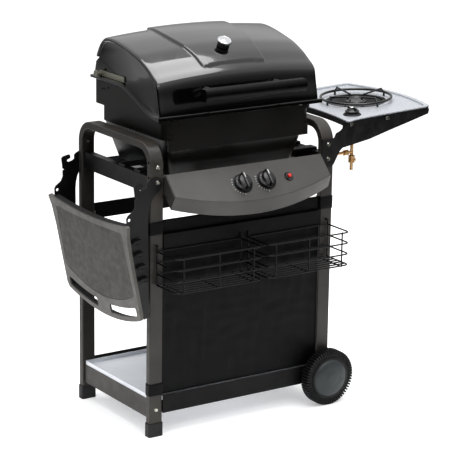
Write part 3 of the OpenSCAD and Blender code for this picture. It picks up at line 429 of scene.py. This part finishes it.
def smoothed(mesh, angle):
    mesh.shade_smooth()
    mesh.set_sharp_from_angle(angle=math.radians(angle))


def modified(o, kind, **settings):
    """Adds a modifier and applies it."""
    modifier = o.modifiers.new(kind.lower(), kind)
    for key, value in settings.items():
        setattr(modifier, key, value)
    graph = bpy.context.evaluated_depsgraph_get()
    mesh = bpy.data.meshes.new_from_object(o.evaluated_get(graph))
    o.modifiers.clear()
    o.data = mesh


def sweep(rings, closed=True, caps=True):
    """Faces from each ring to the next, as (verts, faces); caps close the first and last ring."""
    n = len(rings[0])
    verts = [v for ring in rings for v in ring]
    faces = []
    for i in range(len(rings) - 1):
        for j in range(n if closed else n - 1):
            k = (j + 1) % n
            faces.append((i * n + j, i * n + k, (i + 1) * n + k, (i + 1) * n + j))
    if caps:
        faces.append(tuple(range(n)))
        faces.append(tuple((len(rings) - 1) * n + j for j in reversed(range(n))))
    return verts, faces


def around(rings, closed=True):
    """Faces over rings that follow each other round an axis, and the last one meets the first."""
    n, m = len(rings), len(rings[0])
    verts = [v for ring in rings for v in ring]
    faces = []
    for j in range(n):
        k = (j + 1) % n
        for i in range(m if closed else m - 1):
            w = (i + 1) % m
            faces.append((j * m + i, k * m + i, k * m + w, j * m + w))
    return verts, faces


def turned(profile, n, place, closed=False):
    """A profile of (radius, height) turned in n steps; place maps (x, y, z) to the cart.

    An open profile has to end on the axis."""
    rings = []
    for j in range(n):
        a = 2 * math.pi * j / n
        rings.append([place(r * math.cos(a), r * math.sin(a), z) for r, z in profile])
    return around(rings, closed)


def spline(points, steps):
    """Catmull-Rom curve through points of (y, z), as (y, z, index of the point before plus the way on)."""
    first = [2 * a - b for a, b in zip(points[0], points[1])]
    last = [2 * a - b for a, b in zip(points[-1], points[-2])]
    padded = [first, *points, last]
    out = []
    for i in range(len(points) - 1):
        for k in range(steps):
            t = k / steps
            place = [0.5 * (2 * b + (c - a) * t + (2 * a - 5 * b + 4 * c - d) * t * t
                            + (3 * b - a - 3 * c + d) * t ** 3) for a, b, c, d in zip(*padded[i:i + 4])]
            out.append((*place, i + t))
    out.append((*points[-1], len(points) - 1))
    return out


def ease(t):
    """0 to 1 with a level start and end."""
    t = min(max(t, 0), 1)
    return t * t * (3 - 2 * t)


def tilted(origin, degrees, axis="X"):
    """A map from a tilted plane's own (x, y, z) to the cart."""
    turn = Matrix.Rotation(math.radians(degrees), 3, axis)

    def place(x, y, z):
        return tuple(Vector(origin) + turn @ Vector((x, y, z)))
    return place


def offset(place, dx, dy, dz=0):
    """The same map with its origin moved."""
    return lambda x, y, z: place(dx + x, dy + y, dz + z)


# ------------------------------------------------------------------ lid
def lid_path():
    """The lid's outside from the front lip to the rear edge, and the inward normal at each point."""
    path = spline(LID_PROFILE, 5)
    normals = []
    for i in range(len(path)):
        a, b = path[max(i - 1, 0)], path[min(i + 1, len(path) - 1)]
        along = Vector((b[0] - a[0], b[1] - a[1])).normalized()
        normals.append((along.y, -along.x))
    return path, normals


def raised(x, y):
    """0 to 1 over the raised centre panel, with a rolled edge and round front corners that dip a little."""
    corner, roll = 16, 5
    half_width = 104 + 21 * ease((y + 135) / 185)
    dip = 5 * ease((abs(x) - 62) / 34)
    side = half_width - abs(x)
    end = min((y + 132 + dip) * 1.2, 128 - y)
    if side < corner and end < corner:
        return ease((corner - math.hypot(corner - side, corner - end)) / roll)
    return ease(min(side, end) / roll)


def lid_columns():
    """Where the skin's rows are cut across: close together at the panel's rim and round the corners."""
    edge = LID_X - 0.5 - LID_CORNER
    corner = [edge + LID_CORNER * math.sin(math.pi / 2 * k / 5) for k in range(6)]
    rim = range(98, 126, 2)
    flat = [0, 20, 40, 60, 80, 92, *rim, 127, 132, 150, 180, 210, 235]
    return sorted({-x for x in flat + corner} | set(flat + corner))


def lid_skin():
    path, normals = lid_path()
    edge = LID_X - 0.5 - LID_CORNER
    rings = []
    for x in lid_columns():
        past = max(abs(x) - edge, 0)
        inset = LID_CORNER - math.sqrt(max(LID_CORNER ** 2 - past ** 2, 0))
        ring = []
        for (y, z, t), (ny, nz) in zip(path, normals):
            lift = 0 if t < 1 else min(t / 4, 1)
            crown = CROWN * (1 - (x / LID_X) ** 2) * lift
            h = inset - PANEL_RISE * raised(x, y)
            ring.append((x, y + h * ny, z + h * nz + crown))
        rings.append(ring)
    mesh = made("lid_skin", [(*sweep(rings, closed=False, caps=False), 0)], 40)
    o = piece("v_lid_skin", mesh, "lid", "lid_gloss", ["lid"], "lid_shell")
    # The open sheet has no inside of its own, so its normals are turned up before it is thickened downwards
    bm = bmesh.new()
    bm.from_mesh(o.data)
    if sum(face.normal.z * face.calc_area() for face in bm.faces) < 0:
        bmesh.ops.reverse_faces(bm, faces=bm.faces)
    bm.to_mesh(o.data)
    bm.free()
    modified(o, "SOLIDIFY", thickness=LID_SKIN / 1000, offset=-1)
    smoothed(o.data, 50)


def parting_line(steps=24):
    """The lid's lower edge at the side, from the rear to the front, as (y, z)."""
    run = PART_REAR_Y - PART_FRONT_Y
    line = []
    for i in range(steps + 1):
        y = PART_REAR_Y - run * i / steps
        line.append((y, PART_REAR_Z - PART_DROP * ease((PART_REAR_Y - y) / run)))
    return line


def side_panel(s):
    """A flat side, sunk behind a rim that rolls in from the skin's corner."""
    path, normals = lid_path()
    rolls = [(0.5, 0), (0.9, 1.6), (2.2, 2.6), (5.2, 3.4), (6.2, 5)]
    rings = []
    for inward, down in rolls:
        h = LID_CORNER + down
        rings.append([(s * (LID_X - inward), y + h * ny, z + h * nz)
                      for (y, z, t), (ny, nz) in zip(path, normals)])
    verts, faces = sweep(rings, closed=False, caps=False)
    rear = [(174, 976), (180.5, 950), (181, PART_REAR_Z)]
    tail = [(s * (LID_X - 6.2), y, z) for y, z in rear + parting_line()]
    rim_end = range(len(verts) - len(path), len(verts))
    tail_end = range(len(verts), len(verts) + len(tail))
    return verts + tail, faces + [(*rim_end, *tail_end)], 0


def side_flange(s):
    """A rounded bead along the parting line."""
    section = [(-8, 0.3), (7, 0.3), (8.7, 1.6), (8.9, 5), (8, 7.8), (5, 8.7), (-1, 8.9), (-8, 9)]
    route = [(181, PART_REAR_Z), *parting_line(), (-173, 869)]
    return *sweep([[(s * (LID_X + a), y, z + b) for a, b in section] for y, z in route]), 0


def front_flange(x0, x1, front, rear=-171):
    """A stretch of the bar along the lid's front edge."""
    section = [(rear, 869.4), (front + 1.6, 869.2), (front + 0.3, 870.6), (front + 0.2, 878),
               (front + 1.2, 880.4), (front + 3, 881), (rear, 881)]
    return *sweep([[(x, y, z) for y, z in section] for x in (x0, x1)]), 0


def lid_trim():
    parts = []
    for s in (-1, 1):
        parts += [side_panel(s), side_flange(s)]
    # two shallow notches divide the front bar
    end, notch_in, notch_out = LID_X + 8.7, 107, 123
    bar, notch = -177, -173.8
    for x0, x1 in ((-end, -notch_out), (-notch_in, notch_in), (notch_out, end)):
        parts.append(front_flange(x0, x1, bar))
    for x0, x1 in ((-notch_out - 1, -notch_in + 1), (notch_in - 1, notch_out + 1)):
        parts.append(front_flange(x0, x1, notch))
    piece("v_lid_trim", made("lid_trim", parts, 38), "lid", "lid_gloss", ["lid"], "lid_shell")


lid_skin()
lid_trim()


# ------------------------------------------------------------------ wheels
def tyre(name, place):
    """Lugs across the tread, each with a groove after it."""
    rings = []
    for k in range(LUGS):
        for shift, lug in ((-0.30, True), (0.22, True), (0.30, False), (0.62, False)):
            a = 2 * math.pi * (k + shift) / LUGS
            outer, near = (WHEEL_R, 0.2) if lug else (75.2, 2.6)
            far = TYRE_W - near
            wall = [(59.5, 3), (62, 2), (64.5, 1.8), (66.5, near), (outer - 2.4, near), (outer, near + 2.4)]
            back = [(outer, far - 2.2), (outer - 2.4, far), (66.5, far), (64.5, 30.2), (62, 30), (59.5, 29)]
            rings.append([place(r * math.cos(a), r * math.sin(a), z) for r, z in wall + back])
    mesh = made("tyre_" + name, [(*around(rings), 0)], 28)
    piece("v_tyre_" + name, mesh, "wheel_" + name, "tyre", ["rubber"], f"wheel_{name}_tyre")


def hub(name, place):
    """A bore for the axle, a plain dished cover and a black ring round it."""
    inside = [(5.1, -1.8), (14.8, -1.8), (15, 12), (58, 13), (59.6, 14)]
    ring = [(59.6, 31), (58.6, 33.4), (56.4, 34.2), (54.6, 33.2)]
    cover = [(53.6, 33.4), (51, 36.2), (44, 39.2), (36, 41), (26, 42.4), (16, 43.4), (14.5, 43.9), (10, 44),
             (0.05, 44), (0.05, 39.2), (9.6, 39.2), (9.6, 30), (5.1, 30)]
    columns = 96
    finish = ([0] * len(inside) + [1] * len(ring) + [0] * len(cover)) * columns
    part = turned(inside + ring + cover, columns, place, closed=True)
    mesh = made("hub_" + name, [(*part, finish)], 30)
    piece("v_hub_" + name, mesh, "wheel_" + name, "wheel_hub", ["hub", "plastic"], f"wheel_{name}_hub")


def on_axle(s):
    return lambda x, y, z: (LEG_X + x, s * (WHEEL_INNER + z), WHEEL_R + y)


for name, s in (("front", -1), ("rear", 1)):
    tyre(name, on_axle(s))
    hub(name, on_axle(s))


# ------------------------------------------------------------------ knobs and thermometer
on_face = tilted(FACE_ORIGIN, FACE_TILT)
on_shelf = tilted(SHELF_ORIGIN, SHELF_TILT, "Y")


def knob_skirt(place, r, h):
    """The round body, with small scallops on its rim and its upper edge."""
    rim = [(4.2, 0.05), (r - 0.6, 0.05), (r, 0.7), (r, 3.2), (r - 1.1, 4.6), (r - 3, 5.6)]
    body = [(0.74 * r, 7.2), (0.71 * r, 8.6), (0.69 * r, h - 3), (0.66 * r, h - 1.1), (0.58 * r, h - 0.2),
            (4.2, h)]
    columns, scallops, deep = 144, 36, 0.35
    share = {2: 1, 3: 1, 4: 1, 7: 0.8, 8: 0.8, 9: 0.8}
    rings = []
    for j in range(columns):
        a = 2 * math.pi * j / columns
        cut = deep * (0.5 + 0.5 * math.cos(scallops * a))
        ring = []
        for i, (radius, z) in enumerate(rim + body):
            k = radius - cut * share.get(i, 0)
            ring.append(place(k * math.cos(a), k * math.sin(a), z))
        rings.append(ring)
    return *around(rings), 0


def knob_grip(place, half_length, h, width):
    """The raised bar, with ridges down both sides."""
    ends = [-half_length, -half_length + 1.2]
    ridges = [-half_length + 3 + (2 * half_length - 6) * t / 22 for t in range(23)]
    stations = ends + ridges + [-y for y in reversed(ends)]
    rings = []
    for t, y in enumerate(stations):
        full = math.sqrt(max(1 - (abs(y) / (half_length + 0.6)) ** 4, 0.02))
        groove = 0.45 if t % 2 and 2 < t < len(stations) - 2 else 0
        w = width / 2 * (0.55 + 0.45 * full) - groove
        top = h + 2.6 + 1.6 * full
        section = [(w, 4), (w, top - 3), (w - 0.7, top - 1), (w * 0.35, top)]
        left = [place(-x, y, z) for x, z in section]
        right = [place(x, y, z) for x, z in reversed(section)]
        rings.append(left + right)
    return *sweep(rings), 0


def knob_pointer(place, half_length, h):
    """The white line on the grip's outer half."""
    near, far, half = half_length * 0.25, half_length * 0.82, 1.1
    top = h + 4.28
    rings = []
    for z0, z1 in ((top, top - 0.25), (top - 0.8, top - 1)):
        corners = [(-half, near, z0), (half, near, z0), (half, far, z1), (-half, far, z1)]
        rings.append([place(*corner) for corner in corners])
    return *sweep(rings), 1


def knob(node, place, r, h, width, cap=False):
    half_length = r - 2
    parts = [knob_skirt(place, r, h)]
    parts += [knob_grip(place, half_length, h, width), knob_pointer(place, half_length, h)]
    finishes = ["knob", "white"]
    if cap:
        parts.append((*turned([(0.2, h + 5), (5, h + 4.8), (6.2, h + 3.6), (6.4, h - 1)], 36, place), 2))
        finishes.append("chrome")
    piece("v_" + node, made(node, parts, 32), node + "_body", "knob_plastic", finishes, node)


def tick(place, k):
    """One dial mark; each fourth one is longer."""
    a = math.radians(150 + 14 * k)
    half, inner, outer = 0.55, 29.9, 33.4 if k % 4 else 35.2
    corners = [(inner, -half), (outer, -half), (outer, half), (inner, half)]
    rings = []
    for z in (0.16, 0.0):
        rings.append([place(r * math.cos(a) - w * math.sin(a), r * math.sin(a) + w * math.cos(a), z)
                      for r, w in corners])
    return *sweep(rings), 1


def bezels():
    """The rings under the knobs, with plain tick marks round the two on the panel."""
    flat_ring = [(6.2, 0.02), (6.2, 1.0), (27.6, 1.2), (28.9, 0.7), (29, 0.02)]
    high_ring = [(6.2, 0.02), (6.2, 4.4), (22.2, 4.6), (23.2, 4), (25.6, 0.9), (26, 0.02)]
    parts = []
    for x in KNOB_X:
        place = offset(on_face, x, KNOB_S)
        parts.append((*turned(flat_ring, 72, place, closed=True), 0))
        parts += [tick(place, k) for k in range(9)]
    place = offset(on_shelf, SIDE_KNOB_U, SIDE_KNOB_V, SHELF_FIELD)
    parts.append((*turned(high_ring, 72, place, closed=True), 0))
    mesh = made("dial_marks", parts, 30)
    piece("v_knob_bezels", mesh, "root", "black_plastic", ["plastic", "white"], "knob_bezels")


def gauge():
    place = tilted(GAUGE_ORIGIN, GAUGE_TILT)
    collar = [(3.2, 0.2), (17, 0.2), (17, 13), (16.2, 14.2), (3.2, 14.2)]
    cap = [(0.05, 14.4), (18.6, 14.4), (20.2, 15.2), (20.5, 16.4), (20.3, 18), (19, 19.8), (17.4, 20.6),
           (16.6, 19.9), (15.6, 19.8), (8, 20.9), (0.05, 21.3)]
    probe = [(0.05, -49.5), (2.6, -49.5), (3.2, -48), (3.2, 0.6), (0.05, 0.6)]
    parts = [(*turned(collar, 64, place, closed=True), 1), (*turned(cap, 64, place), 0),
             (*turned(probe, 24, place), 0)]
    mesh = made("gauge", parts, 34)
    piece("v_thermometer", mesh, "lid", "gauge_chrome", ["chrome", "plastic"], "thermometer")


for node, x in zip(("knob_left", "knob_right"), KNOB_X):
    knob(node, offset(on_face, x, KNOB_S, KNOB_RISE), 26, 17, 9)
knob("side_knob", offset(on_shelf, SIDE_KNOB_U, SIDE_KNOB_V, SIDE_KNOB_RISE), 20, 10.5, 7, cap=True)
bezels()
gauge()


# ------------------------------------------------------------------ curtain and straps
def fold_list():
    """Soft vertical folds, as (middle, width, depth, lean, phase)."""
    rnd = random.Random(11)
    folds = []
    for _ in range(26):
        middle = rnd.uniform(-CURTAIN_X, CURTAIN_X)
        width, deep, lean = rnd.uniform(8, 20), rnd.uniform(-1, 1), rnd.uniform(-0.07, 0.07)
        folds.append((middle, width, deep, lean, rnd.uniform(0, 1)))
    return folds


def curtain_offset(x, z, folds):
    """How far the cloth stands out of its flat plane."""
    height = CURTAIN_HIGH - CURTAIN_LOW
    up = z - CURTAIN_LOW
    hang = 0.35 + 0.65 * math.sin(math.pi * min(1, (height - up) / height * 1.15))
    fold = 0.0
    for middle, width, deep, lean, phase in folds:
        t = (x - middle - lean * up) / width
        fold += deep * math.exp(-t * t) * (0.6 + 0.4 * math.sin(5 * phase + up / 90))
    creases = noise.noise(Vector((x / 60, z / 24, 3))) * 0.7 + noise.noise(Vector((x / 17, z / 60, 9))) * 0.45
    tuck = ease((CURTAIN_X - abs(x)) / 14)
    out = (fold * 2.1 * hang + creases * 1.2) * tuck
    return max(-CURTAIN_DEPTH, min(CURTAIN_DEPTH, out))


def curtain():
    columns, rows = 150, 120
    folds = fold_list()
    rings = []
    for j in range(rows + 1):
        z = CURTAIN_LOW + (CURTAIN_HIGH - CURTAIN_LOW) * j / rows
        ring = []
        for i in range(columns + 1):
            x = -CURTAIN_X + 2 * CURTAIN_X * i / columns
            ring.append((x, CURTAIN_Y + curtain_offset(x, z, folds), z))
        rings.append(ring)
    mesh = made("curtain_cloth", [(*sweep(rings, closed=False, caps=False), 0)], 180)
    o = piece("v_curtain", mesh, "root", "curtain_cloth", ["cloth"], "curtain")
    modified(o, "SOLIDIFY", thickness=CLOTH / 1000, offset=0)
    o.data.shade_smooth()


def strap(name, s, low, high, frame_node):
    """A band of the curtain's cloth round a front leg."""
    gap, corner, rows = 1.2, 3.5, 8
    rings = []
    for t in range(rows + 1):
        puff = 0.35 * math.sin(math.pi * t / rows) + 0.12 * math.sin(t * 2.3 + s)
        half_width = LEG_WIDTH / 2 + gap + puff * 0.5
        half_depth = LEG_DEPTH / 2 + gap + puff * 0.5
        ring = []
        for cx, cy, start in ((1, 1, 0), (-1, 1, 90), (-1, -1, 180), (1, -1, 270)):
            for m in range(5):
                a = math.radians(start + 22.5 * m)
                x = s * LEG_X + cx * (half_width - corner) + corner * math.cos(a)
                y = -LEG_Y + cy * (half_depth - corner) + corner * math.sin(a)
                ring.append((x, y, low + (high - low) * t / rows))
        rings.append(ring)
    mesh = made("strap", [(*sweep(rings, caps=False), 0)], 180)
    o = piece(name, mesh, "root", "curtain_cloth", ["cloth"], "curtain_straps")
    modified(o, "SOLIDIFY", thickness=CLOTH / 1000, offset=0)
    o.data.shade_smooth()


curtain()
for side, s, frame_node in (("l", -1, "left_side_frame"), ("r", 1, "right_side_frame")):
    for k, (low, high) in enumerate(((569.3, 604.7), (118.3, 151.7))):
        strap(f"v_strap_{side}{k}", s, low, high, frame_node)


# ------------------------------------------------------------------ rounded edges on the CAD shapes
def refined(node, body, slot, key, width, segments):
    """The CAD node's own shape with its edges rounded, by a width in millimetres, to catch the light."""
    source = NODES[node]
    mesh = source.data.copy()
    mesh.transform(source.matrix_world)
    bm = bmesh.new()
    bm.from_mesh(mesh)
    bmesh.ops.remove_doubles(bm, verts=bm.verts, dist=2e-6)
    bmesh.ops.dissolve_limit(bm, angle_limit=math.radians(0.6), verts=bm.verts, edges=bm.edges)
    bm.to_mesh(mesh)
    bm.free()
    mesh.materials.clear()
    mesh.shade_smooth()
    o = piece("v_" + node, mesh, body, slot, [key], node)
    modified(o, "BEVEL", width=width / 1000, segments=segments, limit_method="ANGLE",
             angle_limit=math.radians(30), use_clamp_overlap=True, harden_normals=False)
    smoothed(o.data, 32)
    modified(o, "WEIGHTED_NORMAL", keep_sharp=True, weight=80)


REFINE = [
    ("control_panel", "root", "panel_grey", "panel", 3.5, 4),
    ("firebox", "root", "firebox_cast", "cast", 1.2, 2),
    ("left_shelf_top", "left_shelf", "shelf_plastic", "shelf", 1.4, 3),
    ("left_shelf_inlay", "left_shelf", "inlay_plastic", "inlay", 0.5, 2),
    ("burner_shelf_top", "root", "silver_shelf", "silver_top", 0.9, 2),
    ("left_side_frame", "root", "frame_paint", "frame", 2, 3),
    ("right_side_frame", "root", "frame_paint", "frame", 2, 3),
    ("lid_handle", "lid", "knob_plastic", "handle", 1.2, 3),
    ("foot_caps", "root", "black_plastic", "plastic", 1.2, 2),
    ("igniter_button", "igniter_body", "red_button", "red", 0.8, 3),
]
for row in REFINE:
    refined(*row)


# ------------------------------------------------------------------ camera
def photo_camera():
    """The photo's own point of view, which a fit to the cart's corners gave."""
    yaw, pitch, roll = math.radians(33.88), math.radians(15.06), math.radians(0.88)
    view = Vector((math.sin(yaw) * math.cos(pitch), math.cos(yaw) * math.cos(pitch), -math.sin(pitch)))
    right = Vector((math.cos(yaw), -math.sin(yaw), 0))
    up = right.cross(view)
    rolled_right = math.cos(roll) * right + math.sin(roll) * up
    rolled_up = -math.sin(roll) * right + math.cos(roll) * up
    data = bpy.data.cameras.new("photo_camera")
    data.sensor_width, data.lens, data.clip_end = 36, 158.9, 60
    o = bpy.data.objects.new("photo_camera", data)
    bpy.context.scene.collection.objects.link(o)
    place = Matrix((rolled_right, rolled_up, -view)).transposed().to_4x4()
    place.translation = at(-3012.6, -4612.1, 1983.4)
    o.matrix_world = place
    bpy.context.scene.camera = o


# ------------------------------------------------------------------ floor and light
def studio_floor():
    bpy.ops.mesh.primitive_circle_add(vertices=96, radius=2.3, fill_type="NGON", location=(0, 0, 0))
    floor = bpy.context.object
    floor.name = "studio_floor"
    m = Mat("studio_floor", "f4f4f4", 0.6, spec=0.2, Emission_Strength=0.22)
    m.shader.inputs["Emission Color"].default_value = (1, 1, 1, 1)
    m.paint(m.noise(1.5, 2), "f4f4f4", "f9f9f9")
    floor.data.materials.append(m.m)


def studio_world():
    """A bright dome over a dark room, with a grey wall to the rear; the camera itself sees plain white."""
    world = bpy.data.worlds.new("studio")
    bpy.context.scene.world = world
    world.use_nodes = True
    tree = world.node_tree
    background = tree.nodes["Background"]
    background.inputs["Strength"].default_value = 1.0
    place = tree.nodes.new("ShaderNodeTexCoord")
    axes = tree.nodes.new("ShaderNodeSeparateXYZ")
    tree.links.new(place.outputs["Generated"], axes.inputs[0])

    dome = tree.nodes.new("ShaderNodeValToRGB")
    elements = dome.color_ramp.elements
    ends = [elements[0], elements[1]]
    stops = ends + [elements.new(0.5), elements.new(0.5)]
    for element, (position, tone) in zip(stops, ((0.0, 0.012), (1.0, 0.95), (0.06, 0.03), (0.42, 0.80))):
        element.position = position
        element.color = (tone, tone, tone * 1.02, 1)
    tree.links.new(axes.outputs["Z"], dome.inputs["Fac"])

    wall = tree.nodes.new("ShaderNodeMapRange")
    wall.inputs["From Min"].default_value, wall.inputs["From Max"].default_value = 0.35, 0.8
    wall.inputs["To Max"].default_value = 0.36
    tree.links.new(axes.outputs["Y"], wall.inputs["Value"])

    light = tree.nodes.new("ShaderNodeMath")
    light.operation = "MAXIMUM"
    tree.links.new(dome.outputs["Color"], light.inputs[0])
    tree.links.new(wall.outputs["Result"], light.inputs[1])
    rays = tree.nodes.new("ShaderNodeLightPath")
    seen = tree.nodes.new("ShaderNodeMix")
    seen.data_type = "RGBA"
    tree.links.new(rays.outputs["Is Camera Ray"], seen.inputs["Factor"])
    tree.links.new(light.outputs[0], seen.inputs["A"])
    seen.inputs["B"].default_value = (1, 1, 1, 1)
    tree.links.new(seen.outputs["Result"], background.inputs["Color"])


def area_light(name, place, target, size, power):
    """A soft box that faces the target, with its size in metres and its power in watts."""
    data = bpy.data.lights.new(name, "AREA")
    data.shape, data.size, data.size_y, data.energy = "RECTANGLE", size[0], size[1], power
    o = bpy.data.objects.new(name, data)
    bpy.context.scene.collection.objects.link(o)
    o.location = place
    o.rotation_euler = (Vector(target) - Vector(place)).to_track_quat("-Z", "Y").to_euler()


photo_camera()
studio_floor()
studio_world()
area_light("top_light", (0.0, -0.3, 3.4), (0, 0, 0.9), (2.6, 2.6), 70)
area_light("left_light", (-3.2, -1.6, 2.2), (0, 0, 0.6), (1.6, 1.6), 12)
area_light("front_light", (-0.6, -3.4, 3.4), (0, 0, 0.6), (2.0, 1.4), 26)

bpy.context.scene.view_settings.view_transform = "Standard"
bpy.context.scene.view_settings.look = "Medium High Contrast"
